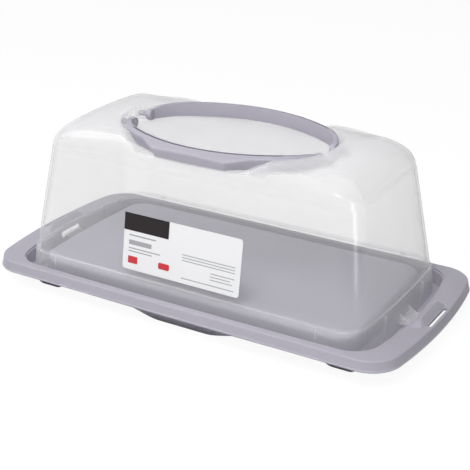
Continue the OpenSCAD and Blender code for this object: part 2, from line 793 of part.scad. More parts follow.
module handle() {
    color(handle_colour) {
        handle_body();
        for (flip = [0, 1])
            mirror([flip, 0, 0])
                translate([arm_out_x, -pivot_y, pivot_z])
                    rotate([0, 90, 0]) {
                        translate([0, 0, -arm_end_thick])
                            cylinder(r = arm_end_r, h = arm_end_thick, $fn = 64);
                        translate([0, 0, -1])
                            cylinder(d = pin_d, h = 1 + arm_side_gap + pin_engagement, $fn = 48);
                    }
    }
}

module front_handle() {
    handle();
}

module rear_handle() {
    rotate([0, 0, 180])
        handle();
}

tray();
dome();
front_handle();
rear_handle();
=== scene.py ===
import math

import bmesh
import bpy
from mathutils import Matrix, Vector


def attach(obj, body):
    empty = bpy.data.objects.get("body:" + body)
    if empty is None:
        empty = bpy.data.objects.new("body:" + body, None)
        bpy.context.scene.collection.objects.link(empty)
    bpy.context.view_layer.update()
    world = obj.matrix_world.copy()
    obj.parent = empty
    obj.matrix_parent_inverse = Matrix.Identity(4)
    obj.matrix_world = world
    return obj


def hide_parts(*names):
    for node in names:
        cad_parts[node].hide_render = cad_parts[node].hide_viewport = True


# A cake carrier: a tray, a see-through dome that lifts off and two folding handles.
# The CAD frame gives the places and the joints, and each visible piece is built here.
# Sizes in the dictionaries are millimetres and degrees, and the meshes are made in metres.
unit = 0.001

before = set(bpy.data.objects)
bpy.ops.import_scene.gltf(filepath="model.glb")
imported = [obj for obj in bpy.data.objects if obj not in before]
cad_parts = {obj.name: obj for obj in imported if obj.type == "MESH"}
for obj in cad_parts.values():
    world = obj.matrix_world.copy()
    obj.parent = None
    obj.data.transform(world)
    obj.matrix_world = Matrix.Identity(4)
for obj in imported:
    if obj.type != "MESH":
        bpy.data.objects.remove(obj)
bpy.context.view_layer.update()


# Numbers and outlines
def mix(a, b, t):
    return a + (b - a) * t


def clamp(t, low=0.0, high=1.0):
    return max(low, min(high, t))


def smooth(t):
    t = clamp(t)
    return t * t * (3 - 2 * t)


def tanOf(a):
    return math.tan(math.radians(a))


def sinOf(a):
    return math.sin(math.radians(a))


def cosOf(a):
    return math.cos(math.radians(a))


def steps(low, high, count):  # count + 1 values from low to high
    return [mix(low, high, i / count) for i in range(count + 1)]


def bowRadius(half, bow):  # radius of an arc that rises by bow over a chord of 2 * half
    return (half * half + bow * bow) / (2 * bow)


def onArc(cx, cy, r, a):
    return (cx + r * cosOf(a), cy + r * sinOf(a))


def level(outline, z):
    return [(x, y, z) for x, y in outline]


def between(a, b, t):  # a ring part of the way from ring a to ring b
    return [tuple(mix(p, q, t) for p, q in zip(u, v)) for u, v in zip(a, b)]


def spline(points, t):  # a smooth path through points, t from 0 to 1
    n = len(points) - 1
    at = clamp(t) * n
    i = min(int(at), n - 1)
    u = at - i
    p0, p1, p2, p3 = (points[clamp(i + k, 0, n)] for k in (-1, 0, 1, 2))
    return tuple(
        0.5
        * (
            2 * b
            + (c - a) * u
            + (2 * a - 5 * b + 4 * c - d) * u * u
            + (3 * b - a - 3 * c + d) * u**3
        )
        for a, b, c, d in zip(p0, p1, p2, p3)
    )


# Meshes
mergeGap = 0.00002  # metres under which two points are one, and an edge is none
thinEdge = 0.00001
sharpFrom = {"tray": 28, "feet": 35, "dome": 30, "label": 30, "handle": 24}  # degrees at an edge


def newObject(name, points, faces):
    mesh = bpy.data.meshes.new(name)
    mesh.from_pydata([Vector(p) * unit for p in points], [], faces)
    thing = bpy.data.objects.new(name, mesh)
    bpy.context.scene.collection.objects.link(thing)
    return thing


def shade(thing, angle, crease=None):  # sharp edges over angle and where crease says
    bm = bmesh.new()
    bm.from_mesh(thing.data)
    bmesh.ops.remove_doubles(bm, verts=bm.verts, dist=mergeGap)
    bmesh.ops.dissolve_degenerate(bm, edges=bm.edges, dist=thinEdge)
    bmesh.ops.recalc_face_normals(bm, faces=bm.faces)
    for face in bm.faces:
        face.smooth = True
    for edge in bm.edges:
        edge.smooth = edge.calc_face_angle(0) < math.radians(angle)
        if crease and crease(edge):
            edge.smooth = False
    bm.to_mesh(thing.data)
    bm.free()


def mirrored(quarter):  # a quarter from the +X end to a long side, made into a closed loop
    n = len(quarter) - 1
    loop = []
    for sx, sy, back in ((1, 1, False), (-1, 1, True), (-1, -1, False), (1, -1, True)):
        order = range(n, 0, -1) if back else range(n)
        loop += [(sx * quarter[j][0], sy * quarter[j][1], quarter[j][2]) for j in order]
    return loop


def strip(a, b, n):  # faces between two closed rings of n points that start at a and b
    return [(a + j, a + (j + 1) % n, b + (j + 1) % n, b + j) for j in range(n)]


def prismFaces(n):
    return [list(range(n))[::-1], list(range(n, 2 * n))] + strip(0, n, n)


def loft(name, rings, capFirst=False, capLast=False):
    n = len(rings[0])
    points = [p for ring in rings for p in ring]
    last = len(rings) - 1
    faces = []
    for i in range(last):
        faces += strip(i * n, (i + 1) * n, n)
    if capFirst:
        faces.append(list(range(n))[::-1])
    if capLast:
        faces.append([last * n + j for j in range(n)])
    return newObject(name, points, faces)


def lathe(name, profile, place, along, count=48):  # profile is (radius, distance along)
    side = Vector((0, 0, 1))
    along = Vector(along).normalized()
    u = along.cross(side).normalized()
    v = along.cross(u)
    turns = [360 * k / count for k in range(count)]
    rings = []
    for r, reach in profile:
        centre = Vector(place) + along * reach
        rings.append([tuple(centre + (u * cosOf(a) + v * sinOf(a)) * r) for a in turns])
    return loft(name, rings, True, True)


def prism(name, outline, depth, place):  # outline (u, v) pushed along w; place gives the point
    points = [place(u, v, 0) for u, v in outline] + [place(u, v, depth) for u, v in outline]
    return newObject(name, points, prismFaces(len(outline)))


def boxAt(name, low, high):
    (x0, y0, z0), (x1, y1, z1) = low, high
    outline = [(x0, y0), (x1, y0), (x1, y1), (x0, y1)]
    return prism(name, outline, z1 - z0, lambda u, v, w: (u, v, z0 + w))


def applied(thing, kind, **values):  # puts one modifier on and keeps its result
    bm = bmesh.new()
    bm.from_mesh(thing.data)
    bmesh.ops.recalc_face_normals(bm, faces=bm.faces)
    bm.to_mesh(thing.data)
    bm.free()
    modifier = thing.modifiers.new(kind.lower(), kind)
    for key, value in values.items():
        setattr(modifier, key, value)
    bpy.context.view_layer.update()
    shown = thing.evaluated_get(bpy.context.evaluated_depsgraph_get())
    mesh = bpy.data.meshes.new_from_object(shown)
    thing.modifiers.clear()
    old = thing.data
    thing.data = mesh
    mesh.name = thing.name
    bpy.data.meshes.remove(old)
    return thing


def rounded(thing, width, segments=3, angle=30):
    return applied(
        thing,
        "BEVEL",
        width=width * unit,
        segments=segments,
        limit_method="ANGLE",
        angle_limit=math.radians(angle),
        harden_normals=False,
    )


def combined(thing, other, operation):
    applied(other, "TRIANGULATE")
    applied(thing, "BOOLEAN", object=other, operation=operation, solver="MANIFOLD")
    bpy.data.objects.remove(other)
    return thing


def joined(thing, others):  # several closed forms as one piece
    bm = bmesh.new()
    bm.from_mesh(thing.data)
    for other in others:
        bm.from_mesh(other.data)
        bpy.data.objects.remove(other)
    bm.to_mesh(thing.data)
    bm.free()
    return thing


# Materials
def newMaterial(name):
    material = bpy.data.materials.new(name)
    material.use_nodes = True
    material.node_tree.nodes.clear()
    return material, material.node_tree


def addNode(tree, kind, sockets=None, **settings):  # settings first, since some change the sockets
    node = tree.nodes.new("ShaderNode" + kind)
    for key, value in settings.items():
        setattr(node, key, value)
    for key, value in (sockets or {}).items():
        node.inputs[key].default_value = value
    return node


def mixShader(tree, share, first, second):  # share is a number or an output
    node = addNode(tree, "MixShader")
    if isinstance(share, float):
        node.inputs["Fac"].default_value = share
    else:
        tree.links.new(share, node.inputs["Fac"])
    tree.links.new(first, node.inputs[1])
    tree.links.new(second, node.inputs[2])
    return node.outputs[0]


def finishMaterial(tree, surface):
    tree.links.new(surface, addNode(tree, "OutputMaterial").inputs["Surface"])


def dress(thing, material):
    thing.data.materials.clear()
    thing.data.materials.append(material)
    for face in thing.data.polygons:
        face.material_index = 0


plasticLook = {
    "colour": (0.4, 0.384, 0.447),
    "roughness": 0.39,
    "specular": 0.33,
    "grain": 900,  # fine texture per metre
    "grainDetail": 2,
    "grainDepth": 0.00002,
    "grainStrength": 0.6,
    "cloud": 9,  # slow changes of tone per metre
    "cloudDetail": 3,
    "cloudShare": 0.03,
}


def plastic(name, look):
    material, tree = newMaterial(name)
    link = tree.links.new
    shader = addNode(
        tree,
        "BsdfPrincipled",
        {"Roughness": look["roughness"], "Specular IOR Level": look["specular"]},
    )
    place = addNode(tree, "TexCoord").outputs["Object"]
    grain = addNode(tree, "TexNoise", {"Scale": look["grain"], "Detail": look["grainDetail"]})
    bump = addNode(
        tree, "Bump", {"Distance": look["grainDepth"], "Strength": look["grainStrength"]}
    )
    cloud = addNode(tree, "TexNoise", {"Scale": look["cloud"], "Detail": look["cloudDetail"]})
    spread = look["cloudShare"]
    tone = addNode(tree, "MapRange", {"To Min": 1 - spread, "To Max": 1 + spread})
    tinted = addNode(tree, "VectorMath", {0: look["colour"]}, operation="SCALE")
    link(place, grain.inputs["Vector"])
    link(place, cloud.inputs["Vector"])
    link(grain.outputs["Fac"], bump.inputs["Height"])
    link(cloud.outputs["Fac"], tone.inputs["Value"])
    link(tone.outputs["Result"], tinted.inputs["Scale"])
    link(tinted.outputs["Vector"], shader.inputs["Base Color"])
    link(bump.outputs["Normal"], shader.inputs["Normal"])
    finishMaterial(tree, shader.outputs["BSDF"])
    return material


trayPlastic = plastic("trayPlastic", plasticLook)
handlePlastic = plastic("handlePlastic", {**plasticLook, "colour": (0.425, 0.408, 0.475)})

clearLook = {
    "tint": (0.996, 0.996, 0.996),  # what one face of the wall lets through, met head on
    "edgeTint": (0.5, 0.5, 0.505),  # the same at a grazing angle
    "tintBend": 9,  # how late each value turns to its grazing one
    "haze": 0.082,  # share of milky plastic, met head on
    "edgeHaze": 0.5,
    "hazeBend": 2.5,
    "hazeColour": (0.97, 0.97, 0.98),
    "hazeGlow": 0.42,  # part of the milky share that passes light on
    "topHaze": 0.14,  # more of it over the crease, where the top is frosted
    "topFrom": 0.1275,
    "topTo": 0.136,
    "bandHaze": 0.1,  # and in the thick band round the foot
    "bandFrom": 0.0405,
    "bandTo": 0.0365,
    "shine": 0.04,
    "edgeShine": 0.18,
    "shineBend": 5,
    "roughness": 0.2,
}


def clearPlastic(name, look):
    material, tree = newMaterial(name)
    link = tree.links.new
    facing = addNode(tree, "LayerWeight", {"Blend": 0.5}).outputs["Facing"]

    def curve(power, low, high):  # a value from low, head on, to high, at a grazing angle
        bent = addNode(tree, "Math", {1: power}, operation="POWER")
        spread = addNode(tree, "MapRange", {"To Min": low, "To Max": high})
        link(facing, bent.inputs[0])
        link(bent.outputs[0], spread.inputs["Value"])
        return spread.outputs["Result"]

    tint = addNode(
        tree, "Mix", {"A": (*look["tint"], 1), "B": (*look["edgeTint"], 1)}, data_type="RGBA"
    )
    through = addNode(tree, "BsdfTransparent")
    link(curve(look["tintBend"], 0, 1), tint.inputs["Factor"])
    link(tint.outputs["Result"], through.inputs["Color"])

    milky = {"Color": (*look["hazeColour"], 1)}
    dull = addNode(tree, "BsdfDiffuse", milky).outputs[0]
    glow = addNode(tree, "BsdfTranslucent", milky).outputs[0]
    milk = mixShader(tree, look["hazeGlow"], dull, glow)

    place = addNode(tree, "SeparateXYZ")
    link(addNode(tree, "TexCoord").outputs["Object"], place.inputs[0])
    share = curve(look["hazeBend"], look["haze"], look["edgeHaze"])
    for part in ("top", "band"):
        frosted = addNode(
            tree,
            "MapRange",
            {
                "From Min": look[part + "From"],
                "From Max": look[part + "To"],
                "To Max": look[part + "Haze"],
            },
        )
        total = addNode(tree, "Math", operation="ADD")
        link(place.outputs["Z"], frosted.inputs["Value"])
        link(share, total.inputs[0])
        link(frosted.outputs["Result"], total.inputs[1])
        share = total.outputs[0]
    hazy = mixShader(tree, share, through.outputs[0], milk)

    gloss = addNode(tree, "BsdfGlossy", {"Roughness": look["roughness"]})
    outside = addNode(tree, "Math", {0: 1}, operation="SUBTRACT")  # no gloss on the back of a face
    shine = addNode(tree, "Math", operation="MULTIPLY")
    link(addNode(tree, "NewGeometry").outputs["Backfacing"], outside.inputs[1])
    link(curve(look["shineBend"], look["shine"], look["edgeShine"]), shine.inputs[0])
    link(outside.outputs[0], shine.inputs[1])
    finishMaterial(tree, mixShader(tree, shine.outputs[0], hazy, gloss.outputs[0]))
    return material


def paint(name, colour, roughness, specular=0.4):
    material, tree = newMaterial(name)
    shader = addNode(
        tree,
        "BsdfPrincipled",
        {"Base Color": (*colour, 1), "Roughness": roughness, "Specular IOR Level": specular},
    )
    finishMaterial(tree, shader.outputs["BSDF"])
    return material


domePlastic = clearPlastic("domePlastic", clearLook)
print("materials made")

# Tray
traySize = {
    "rim": 26,  # heights over the table
    "deckTop": 30,
    "floor": 12,
    "sheet": 2,
    "rimHl": 200.2,  # the three plans: half length, half width, bow of the ends, corner
    "rimHw": 95.9,
    "rimBow": 9.6,
    "rimR": 27,
    "channelHl": 179.2,
    "channelHw": 87.5,
    "channelBow": 11,
    "channelSideBow": 2.4,
    "channelR": 23,
    "deckHl": 156.8,
    "deckHw": 77.3,
    "deckBow": 3,
    "deckR": 20,
    "ledgeWidth": 1.3,
    "ledgeDepth": 1.8,
    "ledgeEdge": 0.35,
    "ledgeLean": 0.05,
    "lipRound": 0.35,
    "edge": 1.4,
    "skirt": 9.5,
    "flare": 1.2,
    "bead": 0.6,
    "beadHalf": 0.8,
    "draft": 0.7,
    "foot": 1.2,
    "deckDraft": 0.5,
    "deckEdge": 5,
    "thinning": 0.9,  # share of the sheet in the upright walls
}
traySteps = {"end": 12, "corner": 16, "side": 14}


def planOf(hl, hw, endBow, sideBow, r):  # bowed ends, round corners and straight or bowed sides
    er = bowRadius(hw, endBow)
    ex = hl - er
    if sideBow:
        sr = bowRadius(hl, sideBow)
        sy = hw - sr
        a, b = er - r, sr - r  # the corner's middle lies this far from those of end and side
        p = (ex**2 - sy**2 - a**2 + b**2) / (2 * ex)
        q = sy / ex
        m = p - ex
        root = math.sqrt((q * m) ** 2 - (1 + q * q) * (m * m - a * a))
        cy = (-q * m + root) / (1 + q * q)
        cx = p + q * cy
        aSide = math.degrees(math.atan2(cy - sy, cx))
    else:
        sr = sy = 0
        cy = hw - r
        cx = ex + math.sqrt((er - r) ** 2 - cy**2)
        aSide = 90
    aEnd = math.degrees(math.atan2(cy, cx - ex))
    return {
        "hw": hw, "r": r, "er": er, "ex": ex, "sr": sr,
        "sy": sy, "cx": cx, "cy": cy, "aEnd": aEnd, "aSide": aSide,
    }


def trayRing(plan, off, z):
    e, c, s = traySteps["end"], traySteps["corner"], traySteps["side"]
    aEnd, aSide = plan["aEnd"], plan["aSide"]
    ring = [onArc(plan["ex"], 0, plan["er"] + off, aEnd * j / e) for j in range(e)]
    for a in steps(aEnd, aSide, c):
        ring.append(onArc(plan["cx"], plan["cy"], plan["r"] + off, a))
    for j in range(1, s + 1):
        if plan["sr"]:
            ring.append(onArc(0, plan["sy"], plan["sr"] + off, mix(aSide, 90, j / s)))
        else:
            ring.append((plan["cx"] * (1 - j / s), plan["hw"] + off))
    return mirrored(level(ring, z))


def trayRings(plan, off, z, table):  # table rows are (outward, up) from off and z
    return [trayRing(plan, off + out, z + up) for out, up in table]


def roundRings(plan, off, z, r, angles, outward=-1, upward=-1):  # a quarter round at a corner
    arc = [(outward * r * (1 - cosOf(a)), upward * r * (1 - sinOf(a))) for a in angles]
    return trayRings(plan, off, z, arc)


def buildTray():
    t = traySize
    rimPlan = planOf(t["rimHl"], t["rimHw"], t["rimBow"], 0, t["rimR"])
    channel = planOf(
        t["channelHl"], t["channelHw"], t["channelBow"], t["channelSideBow"], t["channelR"]
    )
    deck = planOf(t["deckHl"], t["deckHw"], t["deckBow"], 0, t["deckR"])
    top, low, sheet = t["rim"], t["floor"], t["sheet"]
    ledge, foot, under = top - t["ledgeDepth"], top - t["skirt"], low - sheet
    flare, draft, wall = t["flare"], t["draft"], sheet * t["thinning"]
    step = draft + t["ledgeWidth"]
    beadArc = [(t["bead"] * cosOf(a), t["beadHalf"] * sinOf(a)) for a in steps(-60, 60, 6)]

    # Outside, from the foot of the skirt over the rim and the channel to the deck
    upper = trayRings(rimPlan, flare, foot, [(-0.6, 0), (0.1, 0.05)])
    upper += trayRings(rimPlan, flare, foot + t["beadHalf"], beadArc)
    upper += trayRings(rimPlan, flare, foot, [(-0.05, 1.9), (-0.12, 2.3)])
    upper += roundRings(rimPlan, 0, top, t["edge"], steps(0, 90, 8))
    upper += roundRings(channel, step, top, t["lipRound"], steps(90, 0, 4), outward=1)
    upper += trayRings(channel, step, ledge, [(0, 0.3), (-0.25, 0)])
    upper += roundRings(
        channel, draft - t["ledgeLean"], ledge, t["ledgeEdge"], steps(90, 0, 3), outward=1
    )
    upper += roundRings(channel, 0, low, t["foot"], steps(0, 90, 4), upward=1)
    upper += trayRings(deck, 0, low, [(1, 0), (0.2, 0.4)])
    upper += roundRings(deck, -t["deckDraft"], t["deckTop"], t["deckEdge"], steps(0, 90, 10))

    # Inside of the sheet, from under the deck back to the skirt
    lower = roundRings(
        deck, -t["deckDraft"] - sheet, t["deckTop"] - sheet, t["deckEdge"] - sheet, steps(90, 0, 5)
    )
    lower += trayRings(deck, 0, under, [(0.2 - sheet, 0.8), (-0.4, 0)])
    lower += trayRings(channel, 0, under, [(0.3, 0), (wall, 1)])
    lower += trayRings(channel, step, ledge - sheet, [(wall - t["ledgeWidth"], 0), (0.9, 0.5)])
    lower += trayRings(channel, step, top - sheet, [(1.5, 0)])
    lower += trayRings(rimPlan, -wall, top - sheet, [(-1.2, 0), (0, -1.2)])
    lower += trayRings(rimPlan, flare - sheet * 0.8, foot, [(0, 0)])

    # One closed skin: the two caps are the top and the underside of the deck
    n = len(upper[0])
    points = [p for ring in upper + lower for p in ring]
    faces = []
    total, deckRing = len(upper) + len(lower), len(upper) - 1
    for i in range(total):
        if i != deckRing:
            faces += strip(i * n, (i + 1) % total * n, n)
    faces.append([deckRing * n + j for j in range(n)])
    faces.append([(deckRing + 1) * n + j for j in range(n)][::-1])
    return newObject("trayTop", points, faces)


latchSize = {
    "hoodLength": 57,
    "hoodHeight": 5.3,
    "hoodSink": 1,  # how far the hood and its hollow start inside the sheet
    "hollowSink": 0.5,
    "inner": 182.2,  # distances from the middle of the tray
    "outer": 194.7,
    "straight": 4.5,  # the foot runs straight so far out, then tapers to the tip
    "tip": 2,
    "taper": 3,
    "ridgeLength": 35,
    "ridgeIn": 0.6,
    "ridgeEdge": [(-0.8, 0), (0, -0.5), (0.6, -0.3), (1, 0.5)],  # outward and along
    "soft": 0.5,
    "softFrom": 12,
    "slotLength": 36,
    "slotWidth": 3.2,
    "slotEdge": 2.3,
    "slotUnder": 1,
    "slotOver": 0.5,
    "windowLength": 28,
    "windowHeight": 6.5,
    "windowIn": 3,  # the cutter reaches so far into the channel and out under the hood
    "windowOut": 4,
    "cornerR": 0.6,
}


def hood(name, sign, grow, low, high):
    s = latchSize
    x0, x1 = s["inner"], s["outer"]
    half, ridge = s["hoodLength"] / 2 + grow, s["ridgeLength"] / 2 + grow
    middle = (x0 + x1) / 2 - s["ridgeIn"]
    foot = [
        (x0 - grow, -half),
        (x0 + s["straight"], -half),
        (x1 - s["tip"], -half + s["taper"]),
        (x1 + grow, -ridge - s["taper"]),
    ]
    top = [(middle + out, -ridge + along) for out, along in s["ridgeEdge"]]
    points = []
    for outline, z in ((foot, low), (top, high)):
        points += [(sign * x, y, z) for x, y in outline + [(x, -y) for x, y in outline[::-1]]]
    return newObject(name, points, prismFaces(2 * len(foot)))


def cutter(name, sign, inner, outer, length, low, high):  # a soft-edged box across one end
    a, b = sorted((sign * inner, sign * outer))
    box = boxAt(name, (a, -length / 2, low), (b, length / 2, high))
    return rounded(box, latchSize["cornerR"])


def addLatches(thing):
    s, t = latchSize, traySize
    top, sheet = t["rim"], t["sheet"]
    peak, slotLow = top + s["hoodHeight"], top - sheet - s["slotUnder"]
    for sign in (-1, 1):
        form = hood("hood", sign, 0, top - s["hoodSink"], peak)
        combined(thing, rounded(form, s["soft"], angle=s["softFrom"]), "UNION")
    for sign in (-1, 1):
        hollow = hood("hollow", sign, -sheet, top - sheet - s["hollowSink"], peak - sheet)
        combined(thing, hollow, "DIFFERENCE")
        edge = t["rimHl"] - s["slotEdge"]
        slot = cutter(
            "slot", sign, edge - s["slotWidth"], edge,
            s["slotLength"], slotLow, top + s["slotOver"],
        )
        combined(thing, slot, "DIFFERENCE")
        wall, z = t["channelHl"], top - t["ledgeDepth"] - sheet
        window = cutter(
            "window", sign, wall - s["windowIn"], wall + s["windowOut"],
            s["windowLength"], z - s["windowHeight"], z,
        )
        combined(thing, window, "DIFFERENCE")


footSize = {
    "midHalf": 22,
    "midRamp": 50,
    "midRibs": 5,
    "midInset": 7,
    "cornerX": 146,
    "cornerHalf": 7,
    "cornerRamp": 20,
    "cornerRibs": 2,
    "cornerInset": 12.5,
    "rampPath": [(1, 1), (0.62, 0.55), (0.24, 0.12)],  # shares of its length and height
    "soleEdge": (0.08, 0.12),  # share of its length, and height
    "soleIn": 1,
    "width": 5.5,
    "wall": 2,
    "rib": 1.6,
    "ribLow": 0.3,
    "ribRoot": 0.5,
    "soft": 0.5,
    "softFrom": 50,
    "pathSteps": 16,
}


def oneFoot(middle, half, ramp, ribs, inset, sign):  # two plates on edge with ribs between them
    s = footSize
    top = traySize["floor"] - traySize["sheet"] / 2
    path = [(half + ramp * along, top * up) for along, up in s["rampPath"]]
    path += [(half + ramp * s["soleEdge"][0], s["soleEdge"][1]), (half - s["soleIn"], 0)]
    right = [spline(path, t) for t in steps(0, 1, s["pathSteps"])]
    right = [(x, max(0, z)) for x, z in right]
    outline = right + [(-x, z) for x, z in right[::-1]]
    yOut = traySize["channelHw"] - inset
    made = []
    for y in (yOut, yOut - s["width"] + s["wall"]):
        plate = prism(
            "foot", outline, s["wall"], lambda u, v, w: (middle + u, sign * (y - w), v)
        )
        made.append(rounded(plate, s["soft"], angle=s["softFrom"]))
    near, far = sorted((sign * (yOut - s["ribRoot"]), sign * (yOut - s["width"] + s["ribRoot"])))
    for i in range(ribs):
        x = middle - half + 2 * half * i / (ribs - 1)
        low, high = (x - s["rib"] / 2, near, s["ribLow"]), (x + s["rib"] / 2, far, top)
        made.append(boxAt("footRib", low, high))
    return made


def buildFeet():
    s = footSize
    made = []
    for sign in (-1, 1):
        made += oneFoot(0, s["midHalf"], s["midRamp"], s["midRibs"], s["midInset"], sign)
        for x in (-s["cornerX"], s["cornerX"]):
            made += oneFoot(
                x, s["cornerHalf"], s["cornerRamp"], s["cornerRibs"], s["cornerInset"], sign
            )
    first = made.pop(0)
    first.name = "trayFeet"
    return joined(first, made)


trayTop = buildTray()
addLatches(trayTop)
shade(trayTop, sharpFrom["tray"])
dress(trayTop, trayPlastic)
trayFeet = buildFeet()
shade(trayFeet, sharpFrom["feet"])
dress(trayFeet, trayPlastic)
for piece in (trayTop, trayFeet):
    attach(piece, "tray")
    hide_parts("tray")
print("tray:", len(trayTop.data.polygons), "faces")

# Dome: the half sizes of the outside at each height come from these values
domeSize = {
    "length": 336,
    "width": 169,
    "height": 143.2,
    "baseZ": 12.3,
    "creaseHeight": 116.2,
    "wall": 1.8,
    "bandHeight": 25,
    "bandStep": 1.5,
    "bandDraft": 4.5,
    "endDraft": 8.2,
    "sideDraft": 9.1,
    "upperDraft": 11,
    "cornerR": 22,
    "creaseLess": 2,  # the corner is so much tighter at the crease
    "topCornerR": 14,
    "endBow": 3.4,
    "shoulderLean": 12.4,
    "bevelHeight": 8,
    "bevelWidth": 7.5,
    "lobeCrown": 3.2,
    "lobeFall": 4,
    "lipR": 3,
    "lipHalf": 40,
    "lipClimb": 30,
    "levelEdge": 10,
    "pocketDepth": 14,
    "pocketDraft": 3,
    "pocketOffset": 8.6,
    "pocketShare": 0.74,
    "pocketFull": 7,  # a wall this high has its whole round edge
}
ovalSize = {"endR": 45, "halfLength": 91.79, "halfWidth": 58.62}  # inside edge of lying handles
domeSteps = {"end": 10, "corner": 18, "side": 26}

# Rings of the outside: inward from the wall, less corner radius, height
footEdge = [(0.5, 0.5, 0), (0.12, 0, 0.2), (0, 0, 0.6)]
bandEdge = [(0, 0, -1.3), (0.12, 0.12, -0.7), (0.45, 0.45, -0.4), (1, 1, -0.25)]
bandFillet = (-0.1, -0.2, -0.1)
bevelPath = [(0, 1), (0.04, 0.86), (0.15, 0.68), (0.3, 0.5), (0.62, 0.2), (0.8, 0.07), (1, 0)]
# Rings of the pocket: outward from its wall, inward from the side, and down or up
pocketBrow = (1.3, 0.45, 0)
pocketLip = [(0.5, 0.8, 0.15), (0.05, 1.1, 0.6), (-0.2, 1.4, 1.4)]
pocketHalf = (0.55, 2.0, 7.5)  # here the first is a share of the draft, inward
pocketFoot = [(0.3, 2.4, 1.8), (0.0, 2.7, 0.8), (-0.6, 3, 0.2), (-1.6, 3.4, 0)]

d = domeSize
bandTopZ = d["baseZ"] + d["bandHeight"]
creaseZ = d["baseZ"] + d["creaseHeight"]
lobeZ = d["baseZ"] + d["height"]
floorZ = lobeZ - d["pocketDepth"]
baseHl, baseHw = d["length"] / 2, d["width"] / 2
bandTopHl = baseHl - d["bandHeight"] * tanOf(d["bandDraft"])
bandTopHw = baseHw - d["bandHeight"] * tanOf(d["bandDraft"])
wallFootHl, wallFootHw = bandTopHl - d["bandStep"], bandTopHw - d["bandStep"]
creaseHl = wallFootHl - (creaseZ - bandTopZ) * tanOf(d["endDraft"])
creaseHw = wallFootHw - (creaseZ - bandTopZ) * tanOf(d["sideDraft"])
crownHw = creaseHw - d["bevelWidth"] - (lobeZ - d["bevelHeight"] - creaseZ) * tanOf(d["upperDraft"])
fallFrom = d["lipHalf"] + d["lipClimb"] + d["levelEdge"]
fallTo = creaseHl - d["cornerR"]
domeLast = domeSteps["end"] + domeSteps["corner"]  # the last point of a corner

ovalEndX = ovalSize["halfLength"] - ovalSize["endR"]
ovalSideR = (ovalEndX**2 + ovalSize["halfWidth"] ** 2 - ovalSize["endR"] ** 2) / (
    2 * (ovalSize["halfWidth"] - ovalSize["endR"])
)
ovalSideY = ovalSideR - ovalSize["halfWidth"]
ovalJoin = math.degrees(math.atan2(ovalEndX, ovalSideY))


def climb(x):  # 0 over the low lip at the middle of the side, 1 on the lobes
    return smooth((abs(x) - d["lipHalf"]) / d["lipClimb"])


def edgeZ(x):
    fall = d["lobeFall"] * smooth((abs(x) - fallFrom) / (fallTo - fallFrom))
    return mix(floorZ, lobeZ - d["lobeCrown"] - fall, climb(x))


def crownShare(y):
    return min(1, (y / crownHw) ** 2)


def topZ(x, y):
    return mix(floorZ, mix(lobeZ, edgeZ(x), crownShare(y)), climb(x))


def endShare(j):
    return 1 - smooth((j - domeSteps["end"]) / domeSteps["corner"])


def domeQuarter(hl, hw, r):
    er = bowRadius(baseHw, d["endBow"])
    ex = hl - er
    cy = hw - r
    cx = ex + math.sqrt((er - r) ** 2 - cy**2)
    aEnd = math.degrees(math.asin(cy / (er - r)))
    e, c, s = domeSteps["end"], domeSteps["corner"], domeSteps["side"]
    return (
        [onArc(ex, 0, er, aEnd * j / e) for j in range(e)]
        + [onArc(cx, cy, r, mix(aEnd, 90, j / c)) for j in range(c + 1)]
        + [(cx * (1 - j / s), hw) for j in range(1, s + 1)]
    )


def sideHalfWidth(z):
    return creaseHw - (z - creaseZ) * tanOf(d["upperDraft"])


def sidePoint(t, x):  # t from 0 at the top of the wall to 1 on the top
    a = mix(d["upperDraft"], 90, t)
    lip = (d["lipR"] * (cosOf(d["upperDraft"]) - cosOf(a)), d["lipR"] * (1 - sinOf(a)))
    bx, by = spline(bevelPath, t)
    bevel = (bx * d["bevelWidth"], by * d["bevelHeight"])
    share = climb(x)
    inward, down = mix(lip[0], bevel[0], share), mix(lip[1], bevel[1], share)
    depth = mix(d["lipR"] * (1 - sinOf(d["upperDraft"])), d["bevelHeight"], share)
    z = edgeZ(x)
    return sideHalfWidth(z - depth) - inward, z - down


def shoulderRing(t):
    endR = (lobeZ - creaseZ) / (1 - sinOf(d["shoulderLean"]))
    endA = mix(d["shoulderLean"], 90, t)
    hl = creaseHl - endR * cosOf(d["shoulderLean"]) + endR * cosOf(endA)
    endTop = creaseZ - endR * sinOf(d["shoulderLean"]) + endR * sinOf(endA)
    hw = sidePoint(t, fallTo)[0]
    outline = domeQuarter(hl, hw, mix(d["cornerR"] - d["creaseLess"], d["topCornerR"], t))
    ring = []
    for j, (x, y) in enumerate(outline):
        sy, sz = sidePoint(t, x)
        endZ = endTop - d["lobeCrown"] * crownShare(y) * t
        ring.append((x, sy if j > domeLast else y, mix(sz, endZ, endShare(j))))
    return ring


def ovalY(x, off):
    if x < (ovalSideR + off) * sinOf(ovalJoin):
        return -ovalSideY + math.sqrt((ovalSideR + off) ** 2 - x * x)
    return math.sqrt(max(0, (ovalSize["endR"] + off) ** 2 - (x - ovalEndX) ** 2))


rimRing = shoulderRing(1)


def pocketRing(off, inset, drop, lift):
    # drop is how far under the lobe's top the ring lies; without it, lift is how far over the floor
    cornerX = rimRing[domeLast][0]
    endR = ovalSize["endR"] + off
    aLast = math.degrees(math.acos((cornerX * d["pocketShare"] - ovalEndX) / endR))
    ring = []
    for j, s in enumerate(rimRing):
        if j < domeLast:
            x, y = onArc(ovalEndX, 0, endR, aLast * j / domeLast)
        else:
            x = s[0] * (1 - (1 - d["pocketShare"]) * (s[0] / cornerX) ** 2)
            y = min(ovalY(x, off), s[1] - inset)
        high = topZ(x, y)
        share = clamp((high - floorZ) / d["pocketFull"])
        ring.append((x, y, floorZ + lift * share if drop is None else high - drop * share))
    return ring


